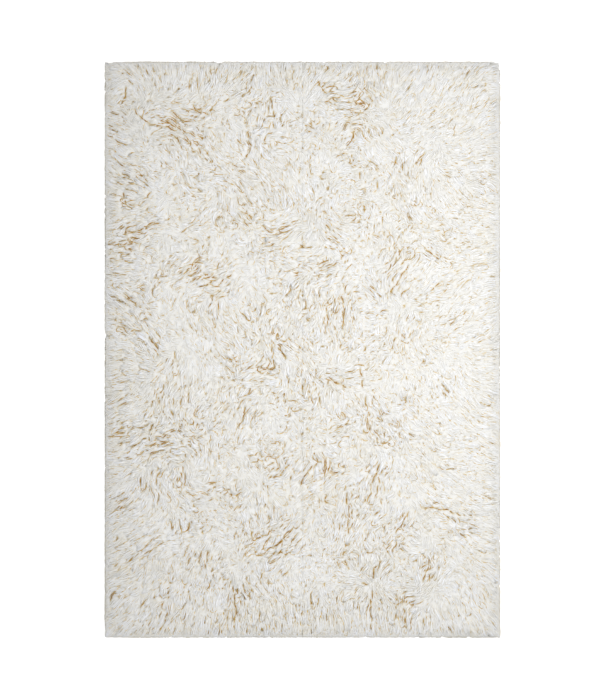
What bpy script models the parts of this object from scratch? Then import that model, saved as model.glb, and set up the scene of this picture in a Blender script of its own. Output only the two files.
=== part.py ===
"""A long-pile wool shag rug lying flat on the floor, as one closed solid.

The rug is woven in one piece, so it is one solid: the outer form of its pile, from the floor up to
the tops of the leaning locks and out to their tips. The pile stands in low mounds where locks lie on
each other, dips where they part, and rolls down to the floor along all four sides.

Metres, +Z up. The origin is on the floor under the middle of the rug, with the long side along Y.
"""

import math

import bmesh
import bpy

# Driving dimensions.
RUG_WIDTH = 1.400  # X, from pile tip to pile tip
RUG_LENGTH = 2.040  # Y, from pile tip to pile tip
PILE_TOP = 0.044  # usual height of the leaning pile over the floor
EDGE_HEIGHT = 0.007  # height of the outline itself, where the last locks reach the floor
SHOULDER = 0.070  # width of the strip along the outline in which the pile rolls down

# The broad unevenness of the pile. A dip has a negative rise.
MOUNDS = (
    # name, x, y, reach, rise
    ("top_left_whorl", -0.42, 0.66, 0.19, 0.0050),
    ("top_middle_mound", 0.06, 0.72, 0.21, 0.0035),
    ("top_right_mound", 0.46, 0.60, 0.18, 0.0040),
    ("upper_left_dip", -0.20, 0.44, 0.13, -0.0050),
    ("upper_middle_mound", 0.12, 0.34, 0.17, 0.0045),
    ("left_mound", -0.48, 0.16, 0.20, 0.0045),
    ("middle_parting", -0.02, -0.06, 0.12, -0.0060),
    ("middle_whorl", 0.04, -0.24, 0.18, 0.0055),
    ("right_mound", 0.45, 0.05, 0.22, 0.0040),
    ("lower_left_dip", -0.44, -0.36, 0.14, -0.0045),
    ("lower_left_mound", -0.28, -0.58, 0.18, 0.0050),
    ("lower_right_whorl", 0.34, -0.52, 0.17, 0.0055),
    ("lower_right_dip", 0.26, -0.72, 0.12, -0.0050),
)

# Cells of the pile's surface. They are narrow at the outline, where it rolls down.
CELLS_ACROSS = 34
CELLS_ALONG = 46

WOOL_COLOUR = (0.83, 0.80, 0.74, 1.0)
WOOL_ROUGHNESS = 0.95


def clear_scene():
    for thing in list(bpy.data.objects):
        bpy.data.objects.remove(thing, do_unlink=True)


def make_collection(name):
    collection = bpy.data.collections.new(name)
    bpy.context.scene.collection.children.link(collection)
    return collection


def wool_material():
    material = bpy.data.materials.new("ivory_wool")
    material.use_nodes = True
    shader = material.node_tree.nodes["Principled BSDF"]
    shader.inputs["Base Color"].default_value = WOOL_COLOUR
    shader.inputs["Roughness"].default_value = WOOL_ROUGHNESS
    shader.inputs["Metallic"].default_value = 0.0
    return material


def spread_towards_edges(share, half_size):
    """Place of a grid line, given its even share from -1 to 1 of the way from the middle."""
    return half_size * math.sin(share * math.pi / 2)


def shoulder(inset):
    """Share of the full height at this distance inside the outline: a quarter of an ellipse."""
    short_of_top = 1 - min(max(inset, 0.0) / SHOULDER, 1.0)
    return math.sqrt(1 - short_of_top**2)


def mound_rise(x, y):
    total = 0.0
    for _name, mound_x, mound_y, reach, rise in MOUNDS:
        away = math.hypot(x - mound_x, y - mound_y) / reach
        total += rise * math.exp(-(away**2))
    return total


def pile_height(x, y):
    """Height of the pile's outer form over the floor."""
    full_height = PILE_TOP + mound_rise(x, y) - EDGE_HEIGHT
    rolled_down = shoulder(RUG_WIDTH / 2 - abs(x)) * shoulder(RUG_LENGTH / 2 - abs(y))
    return EDGE_HEIGHT + full_height * rolled_down


def make_rug(collection):
    """The pile's upper surface as a shaped grid, with its rim drawn down to the floor and closed."""
    form = bmesh.new()
    bmesh.ops.create_grid(form, x_segments=CELLS_ACROSS, y_segments=CELLS_ALONG, size=1.0)
    for vertex in form.verts:
        x = spread_towards_edges(vertex.co.x, RUG_WIDTH / 2)
        y = spread_towards_edges(vertex.co.y, RUG_LENGTH / 2)
        vertex.co = (x, y, pile_height(x, y))

    rim = [edge for edge in form.edges if edge.is_boundary]
    wall = bmesh.ops.extrude_edge_only(form, edges=rim)["geom"]
    for element in wall:
        if isinstance(element, bmesh.types.BMVert):
            element.co.z = 0.0
    hem_line = [edge for edge in form.edges if edge.is_boundary]
    underside = bmesh.ops.contextual_create(form, geom=hem_line)["faces"]
    bmesh.ops.poke(form, faces=underside)
    bmesh.ops.recalc_face_normals(form, faces=form.faces)

    mesh = bpy.data.meshes.new("rug")
    form.to_mesh(mesh)
    form.free()
    mesh.shade_smooth()
    mesh.set_sharp_from_angle(angle=math.radians(50))
    mesh.materials.append(wool_material())
    rug = bpy.data.objects.new("rug", mesh)
    collection.objects.link(rug)
    return rug


clear_scene()
make_rug(make_collection("shag_rug"))
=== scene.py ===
# %% [markdown]
# # A long-pile wool shag rug
#
# This notebook dresses one flat rug. The real thing is a plain-woven wool cloth with thousands of
# thick, hardly twisted wool yarns knotted through it. Washing makes the yarns fluff up and part into
# soft locks, which are combed outwards and fall down over the four edges. We start from the solid
# form of the whole pile, which fixes every size, and then grow the wool inside it.

import math

import bpy
import numpy as np
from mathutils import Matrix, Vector
from mathutils.bvhtree import BVHTree
from mathutils.kdtree import KDTree


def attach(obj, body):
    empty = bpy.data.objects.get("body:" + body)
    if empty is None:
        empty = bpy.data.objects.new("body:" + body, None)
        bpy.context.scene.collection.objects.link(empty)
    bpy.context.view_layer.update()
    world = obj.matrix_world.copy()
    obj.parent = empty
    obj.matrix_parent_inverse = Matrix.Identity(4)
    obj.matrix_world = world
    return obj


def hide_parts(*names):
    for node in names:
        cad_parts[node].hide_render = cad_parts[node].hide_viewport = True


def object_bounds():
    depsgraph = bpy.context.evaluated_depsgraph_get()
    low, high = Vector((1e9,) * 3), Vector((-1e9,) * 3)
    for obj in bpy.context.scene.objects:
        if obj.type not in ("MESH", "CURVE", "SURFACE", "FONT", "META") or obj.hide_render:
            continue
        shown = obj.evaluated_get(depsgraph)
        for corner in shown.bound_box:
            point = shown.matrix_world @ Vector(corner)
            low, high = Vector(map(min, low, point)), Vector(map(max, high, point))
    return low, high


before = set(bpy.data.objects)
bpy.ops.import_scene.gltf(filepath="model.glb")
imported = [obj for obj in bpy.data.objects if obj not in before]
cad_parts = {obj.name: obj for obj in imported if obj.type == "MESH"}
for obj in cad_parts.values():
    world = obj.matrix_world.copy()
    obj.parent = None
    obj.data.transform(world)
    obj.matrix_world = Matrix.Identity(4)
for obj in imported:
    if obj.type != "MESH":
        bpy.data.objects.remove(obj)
FORM_LOW, FORM_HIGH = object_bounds()
WIDTH = FORM_HIGH.x - FORM_LOW.x
LENGTH = FORM_HIGH.y - FORM_LOW.y
print(f"form: {WIDTH:.3f} x {LENGTH:.3f} x {FORM_HIGH.z:.4f} m")

# %% [markdown]
# ## The form under the comb
#
# The pile isn't equally deep everywhere: it stands in low mounds, and rolls down to the floor along
# the outline. The solid already has that shape, so we drop plumb lines onto it in a regular grid and
# read any other place by blending between the four nearest lines. A ray cast onto every point that
# we ask for would be exact, but slow.

# %% Measure the height of the form
PLUMB_STEP = 0.010
PLUMB_INSET = 0.0005  # keeps the outermost plumb lines just inside the walls


def measure_form():
    """The form's height on a grid of plumb lines, with a row for each step along X."""
    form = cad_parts["rug"].data
    tree = BVHTree.FromPolygons([v.co for v in form.vertices], [p.vertices for p in form.polygons])
    half_x, half_y = WIDTH / 2 - PLUMB_INSET, LENGTH / 2 - PLUMB_INSET
    across = np.linspace(-half_x, half_x, round(WIDTH / PLUMB_STEP) + 1)
    along = np.linspace(-half_y, half_y, round(LENGTH / PLUMB_STEP) + 1)
    down = Vector((0, 0, -1))
    return np.array([[tree.ray_cast(Vector((x, y, 1)), down)[0].z for y in along] for x in across])


FORM = measure_form()
print(f"plumb lines: {FORM.size}, from {FORM.min() * 1000:.1f} to {FORM.max() * 1000:.1f} mm high")

# %% [markdown]
# Much of what follows is kept in grids like this one, so there are small functions that read any grid
# of the whole rug, for thousands of places at once.

# %% Read a grid at any place
def between(grid, u, v):
    """Values of a grid at fractional row u and column v."""
    u = np.clip(u, 0, grid.shape[0] - 1.001)
    v = np.clip(v, 0, grid.shape[1] - 1.001)
    i, j = u.astype(int), v.astype(int)
    a, b = u - i, v - j
    near = grid[i, j] * (1 - b) + grid[i, j + 1] * b
    far = grid[i + 1, j] * (1 - b) + grid[i + 1, j + 1] * b
    return near * (1 - a) + far * a


def at_place(grid, x, y):
    """Values of a grid that spans the whole rug, at x and y."""
    return between(grid, (x / WIDTH + 0.5) * (grid.shape[0] - 1), (y / LENGTH + 0.5) * (grid.shape[1] - 1))


def at_points(grid, points):
    """The same for points, whose last axis is x, y and perhaps z."""
    return at_place(grid, points[..., 0], points[..., 1])


print(f"height in the middle: {at_points(FORM, np.zeros((1, 2)))[0] * 1000:.1f} mm")

# %% [markdown]
# ## Smooth chance
#
# Wool never lies at one angle, but neighbours agree. So most of what varies here is a smooth field:
# random values on a coarse grid, eased from one to the next.

# %% A smooth random field
FIELD_MARGIN = 4  # cells of the coarse grid that lie outside the rug, on each side


def ramp(value, start, end):
    """0 before start, 1 after end, and eased between them."""
    share = np.clip((value - start) / (end - start), 0, 1)
    return share * share * (3 - 2 * share)


def smooth_field(x, y, cell, seed):
    """Values from -1 to 1 that change over about one cell; each use has a seed of its own."""
    size = (round(WIDTH / cell) + 2 * FIELD_MARGIN, round(LENGTH / cell) + 2 * FIELD_MARGIN)
    values = np.random.default_rng(seed).uniform(-1, 1, size)
    u = (x + WIDTH / 2) / cell + FIELD_MARGIN - 1
    v = (y + LENGTH / 2) / cell + FIELD_MARGIN - 1
    return between(values, np.floor(u) + ramp(u % 1, 0, 1), np.floor(v) + ramp(v % 1, 0, 1))


print(f"a smooth field in the middle of the rug: {smooth_field(0.0, 0.0, 0.12, 11):+.2f}")

# %% [markdown]
# ## The lie of the pile
#
# Somebody has combed this rug by hand, in short strokes. Near an edge the strokes mostly run off the
# rug; further in they go this way and that, and here and there the wool parts round a crown, as hair
# does. Each stroke below has a place, the heading its tips point to (0 east, 90 north) and a reach.
# Together they give each place a direction and a strength: at strength 0 the locks stand loose.

# %% The strokes of the comb
STROKES = (
    # x, y, heading, reach: along the north edge
    (-0.66, 0.93, 215, 0.07), (-0.56, 0.98, 125, 0.10), (-0.32, 0.98, 120, 0.12),
    (-0.08, 0.97, 95, 0.10), (0.20, 0.97, 92, 0.12), (0.50, 0.97, 65, 0.10), (0.66, 0.95, 320, 0.06),
    # at the four corners
    (-0.67, 0.99, 135, 0.04), (0.67, 0.99, 45, 0.04), (0.67, -0.99, 315, 0.04),
    (-0.67, -0.99, 225, 0.04),
    # along the east edge
    (0.67, 0.83, 40, 0.07), (0.65, 0.62, 350, 0.09), (0.66, 0.45, 5, 0.12), (0.66, 0.15, 25, 0.12),
    (0.67, -0.02, 20, 0.08), (0.66, -0.18, 325, 0.10), (0.64, -0.42, 330, 0.12),
    (0.64, -0.56, 20, 0.06), (0.66, -0.70, 345, 0.08), (0.66, -0.85, 300, 0.10),
    (0.67, -0.98, 320, 0.07),
    # along the south edge
    (0.55, -0.96, 292, 0.09), (0.36, -0.97, 272, 0.09), (0.22, -0.95, 268, 0.08),
    (0.06, -0.96, 275, 0.10), (-0.10, -0.94, 280, 0.12), (-0.30, -0.96, 260, 0.08),
    (-0.48, -0.94, 240, 0.12), (-0.64, -0.93, 222, 0.10),
    # along the west edge
    (-0.63, -0.74, 215, 0.12), (-0.66, -0.57, 200, 0.10), (-0.66, -0.42, 185, 0.08),
    (-0.66, -0.27, 215, 0.10), (-0.66, -0.05, 205, 0.07), (-0.64, 0.13, 148, 0.12),
    (-0.66, 0.32, 185, 0.08), (-0.62, 0.42, 200, 0.10), (-0.66, 0.52, 178, 0.07),
    (-0.62, 0.63, 142, 0.09), (-0.66, 0.80, 155, 0.08),
    # across the north half
    (-0.50, 0.83, 335, 0.10), (-0.40, 0.72, 300, 0.08), (-0.28, 0.93, 340, 0.08),
    (-0.22, 0.64, 310, 0.10), (-0.08, 0.60, 315, 0.09), (-0.10, 0.86, 262, 0.06),
    (0.12, 0.90, 318, 0.09), (0.38, 0.86, 45, 0.11), (0.25, 0.76, 300, 0.08), (0.15, 0.77, 40, 0.05),
    (0.50, 0.56, 318, 0.12), (0.36, 0.64, 265, 0.07), (-0.04, 0.43, 205, 0.07),
    (0.07, 0.42, 335, 0.07), (-0.42, 0.43, 15, 0.07), (0.58, 0.80, 65, 0.08),
    # across the middle
    (-0.36, 0.27, 208, 0.10), (-0.30, 0.09, 312, 0.12), (-0.42, -0.11, 242, 0.10),
    (-0.54, 0.02, 140, 0.07), (-0.08, 0.02, 300, 0.06), (-0.15, -0.07, 208, 0.06),
    (-0.22, -0.24, 240, 0.07), (0.10, 0.27, 225, 0.09), (0.13, 0.13, 280, 0.07),
    (0.33, 0.26, 45, 0.07), (0.52, 0.22, 30, 0.10), (0.36, 0.08, 247, 0.06), (0.02, -0.06, 310, 0.07),
    (0.52, -0.14, 318, 0.07), (0.38, -0.25, 310, 0.11), (-0.12, 0.14, 240, 0.06),
    # across the south half
    (-0.55, -0.65, 240, 0.08), (-0.35, -0.73, 260, 0.07), (-0.24, -0.88, 268, 0.07),
    (-0.13, -0.84, 298, 0.07), (-0.09, -0.70, 225, 0.09), (0.15, -0.62, 275, 0.08),
    (0.26, -0.45, 245, 0.06), (0.02, -0.43, 225, 0.06), (0.47, -0.43, 330, 0.10),
    (0.50, -0.57, 345, 0.08), (0.35, -0.60, 232, 0.07), (0.57, -0.68, 320, 0.07),
    (-0.57, -0.45, 250, 0.07), (-0.15, -0.55, 285, 0.07),
)
print(f"strokes of the comb: {len(STROKES)}")

# %% [markdown]
# Some partings are so long and deep that they belong to this rug's face. These are listed as lines of
# points. The many short ones between single locks will be found by measuring, further on.

# %% The main partings and the crowns
PARTINGS = (
    # points along each parting, as x, y: across the north
    (-0.505, 0.808, -0.465, 0.800, -0.447, 0.782), (-0.545, 0.795, -0.500, 0.786, -0.465, 0.787),
    (-0.445, 0.790, -0.425, 0.773, -0.385, 0.757), (-0.375, 0.757, -0.350, 0.741),
    (-0.445, 0.745, -0.435, 0.730, -0.420, 0.700), (-0.420, 0.745, -0.395, 0.722),
    (-0.385, 0.735, -0.362, 0.705, -0.360, 0.690), (-0.595, 0.853, -0.580, 0.825, -0.535, 0.800),
    (-0.460, 0.850, -0.445, 0.822, -0.405, 0.805), (-0.385, 0.868, -0.380, 0.842, -0.330, 0.828),
    (-0.655, 0.662, -0.625, 0.645), (-0.575, 0.630, -0.560, 0.607, -0.543, 0.594),
    (-0.625, 0.930, -0.630, 0.885, -0.640, 0.865), (-0.635, 0.555, -0.620, 0.510, -0.600, 0.495),
    (-0.590, 0.418, -0.530, 0.440, -0.505, 0.442), (-0.645, 0.425, -0.605, 0.437),
    (-0.690, 0.370, -0.630, 0.372, -0.575, 0.394), (-0.195, 0.770, -0.190, 0.735, -0.180, 0.720),
    (-0.180, 0.715, -0.190, 0.690, -0.205, 0.670), (-0.110, 0.895, -0.108, 0.860, -0.100, 0.820),
    (-0.135, 0.735, -0.130, 0.755, -0.105, 0.768), (-0.250, 0.665, -0.235, 0.645, -0.205, 0.625),
    (-0.220, 0.493, -0.190, 0.475, -0.175, 0.457), (-0.145, 0.440, -0.120, 0.420, -0.100, 0.413),
    (-0.090, 0.420, -0.050, 0.440, -0.020, 0.455), (-0.370, 0.568, -0.355, 0.555),
    (0.055, 0.950, 0.070, 0.920, 0.090, 0.905), (0.105, 0.890, 0.122, 0.873),
    (0.200, 0.885, 0.225, 0.865), (0.230, 0.898, 0.250, 0.875),
    (0.400, 0.655, 0.415, 0.680, 0.435, 0.695), (0.375, 0.475, 0.385, 0.460),
    (-0.010, 0.368, 0.030, 0.357), (0.325, 0.648, 0.333, 0.680), (0.180, 0.770, 0.185, 0.745),
    # across the middle
    (-0.400, 0.298, -0.355, 0.310), (-0.355, 0.248, -0.325, 0.262), (-0.325, 0.257, -0.300, 0.253),
    (-0.300, 0.228, -0.275, 0.248), (-0.270, 0.255, -0.250, 0.267), (-0.685, 0.192, -0.630, 0.167),
    (-0.630, 0.200, -0.605, 0.175), (-0.640, 0.085, -0.615, 0.060), (-0.605, 0.080, -0.570, 0.063),
    (-0.540, 0.045, -0.520, 0.015, -0.512, -0.002), (-0.087, 0.060, -0.085, 0.040),
    (-0.085, 0.010, -0.065, -0.020, -0.060, -0.035), (-0.200, -0.070, -0.170, -0.053),
    (-0.130, -0.065, -0.100, -0.067), (-0.205, -0.200, -0.205, -0.230, -0.230, -0.280),
    (-0.690, -0.310, -0.630, -0.303), (-0.500, -0.335, -0.485, -0.325, -0.470, -0.322),
    (0.435, 0.350, 0.460, 0.335, 0.480, 0.315), (0.235, 0.225, 0.260, 0.205),
    (0.310, 0.200, 0.330, 0.230, 0.375, 0.295), (0.450, 0.205, 0.485, 0.235),
    (0.085, 0.150, 0.090, 0.080), (0.135, 0.190, 0.150, 0.140, 0.140, 0.080),
    (0.205, -0.060, 0.210, -0.095), (0.205, -0.110, 0.215, -0.135), (0.220, -0.165, 0.228, -0.200),
    (0.490, -0.120, 0.515, -0.155), (0.120, -0.280, 0.140, -0.265), (0.235, -0.270, 0.240, -0.285),
    (0.090, -0.100, 0.155, -0.135),
    # across the south
    (-0.655, -0.655, -0.655, -0.675), (-0.680, -0.890, -0.665, -0.850),
    (-0.470, -0.605, -0.460, -0.640), (-0.130, -0.710, -0.095, -0.695, -0.060, -0.660, -0.030, -0.630),
    (-0.645, -0.565, -0.635, -0.550), (-0.245, -0.835, -0.240, -0.880, -0.230, -0.940),
    (-0.265, -0.895, -0.262, -0.860), (-0.105, -0.450, -0.080, -0.445, -0.045, -0.405),
    (-0.425, -0.410, -0.415, -0.450, -0.418, -0.490), (-0.345, -0.775, -0.335, -0.710),
    (-0.005, -0.475, 0.005, -0.445, 0.055, -0.395), (0.085, -0.380, 0.085, -0.420, 0.075, -0.450),
    (0.240, -0.480, 0.255, -0.450, 0.268, -0.405), (0.270, -0.445, 0.272, -0.475, 0.262, -0.505),
    (0.155, -0.500, 0.160, -0.550, 0.165, -0.595), (0.160, -0.600, 0.162, -0.650),
    (0.420, -0.555, 0.510, -0.565, 0.560, -0.585), (0.555, -0.645, 0.575, -0.665),
    (0.245, -0.790, 0.250, -0.770, 0.265, -0.765), (0.245, -0.850, 0.240, -0.920, 0.245, -0.990),
    (0.210, -0.825, 0.230, -0.832), (0.447, -0.735, 0.445, -0.770, 0.425, -0.820),
    (0.450, -0.790, 0.450, -0.820), (0.375, -0.895, 0.400, -0.885), (0.510, -0.975, 0.530, -1.005),
    (0.150, -0.745, 0.165, -0.775), (0.330, -0.650, 0.345, -0.625, 0.370, -0.580),
)
CROWNS = (
    # x, y, reach, outward, turning
    (0.11, -0.10, 0.07, 1.0, 0.0), (0.24, -0.81, 0.07, 1.0, 0.3), (0.43, -0.83, 0.06, 0.9, -0.3),
    (-0.42, -0.42, 0.10, 0.3, 1.0), (-0.13, 0.75, 0.06, 0.2, 1.0), (-0.34, 0.57, 0.07, 0.3, -0.9),
    (0.45, -0.66, 0.06, 0.1, -1.0), (0.02, 0.26, 0.06, 0.6, 0.8), (0.30, 0.92, 0.06, 0.4, -0.9),
)
print(f"main partings: {len(PARTINGS)}, crowns: {len(CROWNS)}")

# %% [markdown]
# Now all of it is added up. Near the outline the comb pulls straight off the rug, and each stroke and
# crown pulls within its reach. The pull of the border, a stroke or a crown is a number that we chose,
# next to the wool's own will to lie this way or that.

# %% Add up the strokes, the crowns and the border
BORDER = (0.05, 0.20)  # the border's pull fades out between these distances from the outline
CORNER = 0.08  # the reach of a side's pull, which turns it to the other side at a corner
OWN_WILL = 0.22
BORDER_PULL = 0.75
STROKE_PULL = 1.25
CROWN_PULL = 2.0


def inset(x, y):
    """How far inside the outline a place is."""
    return np.minimum(WIDTH / 2 - np.abs(x), LENGTH / 2 - np.abs(y))


def border_share(x, y):
    """1 at the outline, 0 in the middle of the rug."""
    return 1 - ramp(inset(x, y), *BORDER)


def outward(x, y):
    """A unit vector that points off the nearest side, and turns from side to side at the corners."""
    pull_x = np.exp(-(WIDTH / 2 - np.abs(x)) / CORNER)
    pull_y = np.exp(-(LENGTH / 2 - np.abs(y)) / CORNER)
    length = np.hypot(pull_x, pull_y)
    return np.sign(x) * pull_x / length, np.sign(y) * pull_y / length


def pulled(x, y):
    """East and north pull of the comb at each place, from the border, the strokes and the crowns."""
    border = border_share(x, y)
    out_x, out_y = outward(x, y)
    east = OWN_WILL * smooth_field(x, y, 0.12, 11) + BORDER_PULL * border * out_x
    north = OWN_WILL * smooth_field(x, y, 0.12, 12) + BORDER_PULL * border * out_y
    for stroke_x, stroke_y, heading, reach in STROKES:
        pull = STROKE_PULL * np.exp(-((x - stroke_x) ** 2 + (y - stroke_y) ** 2) / reach**2)
        east += pull * math.cos(math.radians(heading))
        north += pull * math.sin(math.radians(heading))
    for crown_x, crown_y, reach, away, turning in CROWNS:
        dx, dy = x - crown_x, y - crown_y
        pull = CROWN_PULL / reach * np.exp(-(dx * dx + dy * dy) / reach**2)
        east += pull * (away * dx - turning * dy)
        north += pull * (away * dy + turning * dx)
    return east, north


east_edge = pulled(np.array([WIDTH / 2]), np.zeros(1))[0][0]
print(f"at the middle of the east edge the comb pulls {east_edge:+.2f} east")

# %% [markdown]
# A main parting also shows which way its wool lies: along it, on both sides. So each stretch of a
# parting pulls the wool just behind it into line, the way that it was already mostly heading.

# %% Lay the wool beside the main partings along them
PARTING_PULL = 1.3
PARTING_REACH = 0.032
PARTING_LEAD = 0.025  # how far behind a stretch the wool beside it is knotted


def parting_points(numbers):
    """The points of a main parting, one to a row."""
    return np.array(numbers).reshape(-1, 2)


def parting_pulls():
    """For each stretch of a main parting a place, and the way that the wool there heads."""
    rows = []
    for points in map(parting_points, PARTINGS):
        for start, end in zip(points[:-1], points[1:]):
            middle, way = (start + end) / 2, (end - start) / np.linalg.norm(end - start)
            east, north = pulled(*middle)
            way = way if east * way[0] + north * way[1] > 0 else -way
            rows.append((*(middle - PARTING_LEAD * way), *way))
    return rows


PARTING_PULLS = parting_pulls()


def combed(x, y):
    """The comb's direction and strength as a vector, of length 0 to 1, at each place."""
    east, north = pulled(x, y)
    for pull_x, pull_y, way_x, way_y in PARTING_PULLS:
        pull = PARTING_PULL * np.exp(-((x - pull_x) ** 2 + (y - pull_y) ** 2) / PARTING_REACH**2)
        east += pull * way_x
        north += pull * way_y
    too_long = np.maximum(np.hypot(east, north), 1)
    return east / too_long, north / too_long


centre_east, centre_north = combed(np.zeros(1), np.zeros(1))
print(f"in the middle the comb pulls {centre_east[0]:+.2f} east and {centre_north[0]:+.2f} north")

# %% [markdown]
# ## Locks
#
# Knots sit in rows in the cloth. Washing felts the wool of neighbouring knots together into a lock, a
# soft feather a finger wide. First the locks are scattered over the cloth: a jittered grid looks as
# random as pure chance, and leaves no holes.

# %% Scatter the locks
LOCK_COUNT = 6200
CLOTH_MARGIN = 0.020  # the pile hangs this far past the cloth on each side
CLOTH_THICKNESS = 0.003
SELVEDGE = 0.004  # the edge of the cloth that has no knots
JITTER = 0.48  # how far a lock may stand from its place in the grid, in steps of the grid

rng = np.random.default_rng(7)
cloth_half_x = WIDTH / 2 - CLOTH_MARGIN
cloth_half_y = LENGTH / 2 - CLOTH_MARGIN


def scattered(count, half_x, half_y):
    """About count places in a jittered grid, as an array of x and y."""
    step = math.sqrt(4 * half_x * half_y / count)
    across, along = round(2 * half_x / step), round(2 * half_y / step)
    x, y = np.meshgrid((np.arange(across) + 0.5) / across, (np.arange(along) + 0.5) / along, indexing="ij")
    places = np.stack([x.ravel() * 2 - 1, y.ravel() * 2 - 1], axis=1) * (half_x, half_y)
    places += rng.uniform(-JITTER, JITTER, places.shape) * step
    return np.clip(places, (-half_x, -half_y), (half_x, half_y))


locks = scattered(LOCK_COUNT, cloth_half_x - SELVEDGE, cloth_half_y - SELVEDGE)
print(f"locks: {len(locks)}")

# %% [markdown]
# Each lock gets its own habits: where it heads, how far it leans over, how it curls, and its level,
# from 0 for one pressed deep in the pile to 1 for one on top. A lock that was combed well keeps to the
# comb; where the comb's pull is weak, each goes its own way and curls more.

# %% Give each lock its habits
STUBBORN = (0.08, 0.22)  # a lock's own pull against the comb: always, and what looseness adds
LEAN = (0.42, 0.40)  # how far it lies over, as a share of its length: always, and what the comb adds
CURL = (0.28, 0.65)  # its random curl in radians: always, and what looseness adds
SHARED_CURL = 1.1  # the curl that it shares with its neighbours


def lock_habits(locks):
    """For each lock its heading, lean, curl and level, as rows of one array."""
    n = len(locks)
    x, y = locks.T
    east, north = combed(x, y)
    loose = 1 - np.hypot(east, north)
    own = rng.uniform(0, 2 * math.pi, n)
    own_pull = (STUBBORN[0] + STUBBORN[1] * loose) * rng.uniform(0.3, 1.2, n)
    east += own_pull * np.cos(own)
    north += own_pull * np.sin(own)
    lean = LEAN[0] + LEAN[1] * np.minimum(np.hypot(east, north), 1.1)
    curl = SHARED_CURL * smooth_field(x, y, 0.07, 14) + rng.normal(0, CURL[0] + CURL[1] * loose)
    curl *= 1 - 0.5 * border_share(x, y)
    return np.array([np.arctan2(north, east), lean, curl, rng.uniform(0, 1, n)])


HABITS = lock_habits(locks)
LOCK_LEVEL = HABITS[3]
print(f"locks lie over by {HABITS[1].min():.0%} to {HABITS[1].max():.0%} of their length")

# %% [markdown]
# ## The path of a lock
#
# A lock rises from its knots, bends over the way it was combed and lies on its neighbours. We walk
# along it in short steps and turn a little at each one. It starts steep, so the first steps carry it
# less far than the later ones.

# %% Walk along each lock
WALK = 17  # places along a lock, from its knots to its tip
MIDDLE = WALK // 2
SHARES = np.linspace(0, 1, WALK)
LOCK_LENGTH = (0.062, 0.086)
BORDER_EXTRA = 0.016  # the locks at the outline are this much longer
STEEP = 0.30  # the pace at the knots; by half-way 1 has been added to it


def lock_paths(locks, habits):
    """Points (locks, WALK, 2) along the middle of each lock, and the unit vectors across it."""
    n = len(locks)
    heading, lean, curl, _ = habits
    border = border_share(*locks.T)
    length = rng.uniform(*LOCK_LENGTH, n) + BORDER_EXTRA * border
    sway = rng.uniform(0.15, 0.60, n) * (1 - 0.5 * border)
    phase = rng.uniform(0, 2 * math.pi, n)
    waves = rng.uniform(0.8, 1.7, n)
    path = np.zeros((n, WALK, 2))
    across = np.zeros((n, WALK, 2))
    walked = locks.copy()
    for k, share in enumerate(SHARES):
        turned = heading + curl * max(share - 0.25, 0) + sway * np.sin(phase + 2 * math.pi * waves * share)
        if k:
            pace = length * lean / (WALK - 1) * (STEEP + min(share * 2, 1))
            walked = walked + pace[:, None] * np.stack([np.cos(turned), np.sin(turned)], axis=1)
        path[:, k] = walked
        across[:, k] = np.stack([-np.sin(turned), np.cos(turned)], axis=1)
    return path, across


LOCK_PATHS, LOCK_ACROSS = lock_paths(locks, HABITS)
print(f"a lock spans {np.linalg.norm(LOCK_PATHS[:, -1] - LOCK_PATHS[:, 0], axis=1).mean() * 1000:.0f} mm")

# %% [markdown]
# ## Strands side by side
#
# A lock is a handful of strands that lie side by side. They draw together towards the tip, which
# opens narrow wedges between one lock and the next.

# %% Spread the strands of a lock
STRANDS_IN_LOCK = 9
LOCK_HALF_WIDTH = 0.0135


def of_lock(low, high, lock_of):
    """A random value from low to high for each lock, which all its strands share."""
    return rng.uniform(low, high, len(locks))[lock_of]


def spread_aside(lock_of, aside):
    """How far each strand is beside the middle of its lock, at each place of the walk."""
    n = len(lock_of)
    gather = (0.40 + 0.25 * smooth_field(*locks.T, 0.13, 21))[lock_of] + of_lock(-0.2, 0.25, lock_of)
    half_width = LOCK_HALF_WIDTH * of_lock(0.75, 1.25, lock_of)
    splay = rng.normal(0, 0.0022, n)
    wave = rng.uniform(0.0002, 0.0013, n)
    phase = rng.uniform(0, 2 * math.pi, n)
    waves = rng.uniform(0.8, 2.0, n)
    narrowed = half_width[:, None] * (1 - np.clip(gather, 0.05, 0.8)[:, None] * SHARES**1.4)
    offset = aside[:, None] * narrowed + splay[:, None] * SHARES
    return offset + wave[:, None] * np.sin(phase[:, None] + 2 * math.pi * waves[:, None] * SHARES)


print(f"strands in a lock {LOCK_HALF_WIDTH * 2000:.0f} mm wide: {STRANDS_IN_LOCK}")

# %% [markdown]
# A strand that would leave the outline is drawn in, so that it hangs down instead, as it does over
# the edge of the cloth. The others rise from the cloth to nearly the top of the form, where the
# middle strands of a lock lie a little higher than those at its sides.

# %% Settle the strands onto the form
ROLL = 0.009  # the pile rolls over in the last centimetre or so inside the outline
RISEN = 0.42  # the share of its length at which a strand has reached its height
DROOPS = 0.6  # the share of its length from which its tip droops
HEIGHT = (0.77, 0.23)  # as shares of the form's depth: that of the lowest locks, and what level adds
SIDE_DROP = 0.09  # how much lower the strands at a lock's side lie
HEADROOM = 0.002  # the highest strands keep this far below the form's top
OFF_FLOOR = 0.0025  # a hanging strand ends at least this far over the floor


def settle_inside(places, half, slack):
    """Draws in what would pass the outline, and gives the length that is left to hang down."""
    room = half - slack - ROLL
    beyond = np.maximum(np.abs(places) - room, 0)
    drawn = ROLL * np.tanh(beyond / ROLL)
    return np.where(beyond > 0, np.sign(places) * (room + drawn), places), beyond - drawn


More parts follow.
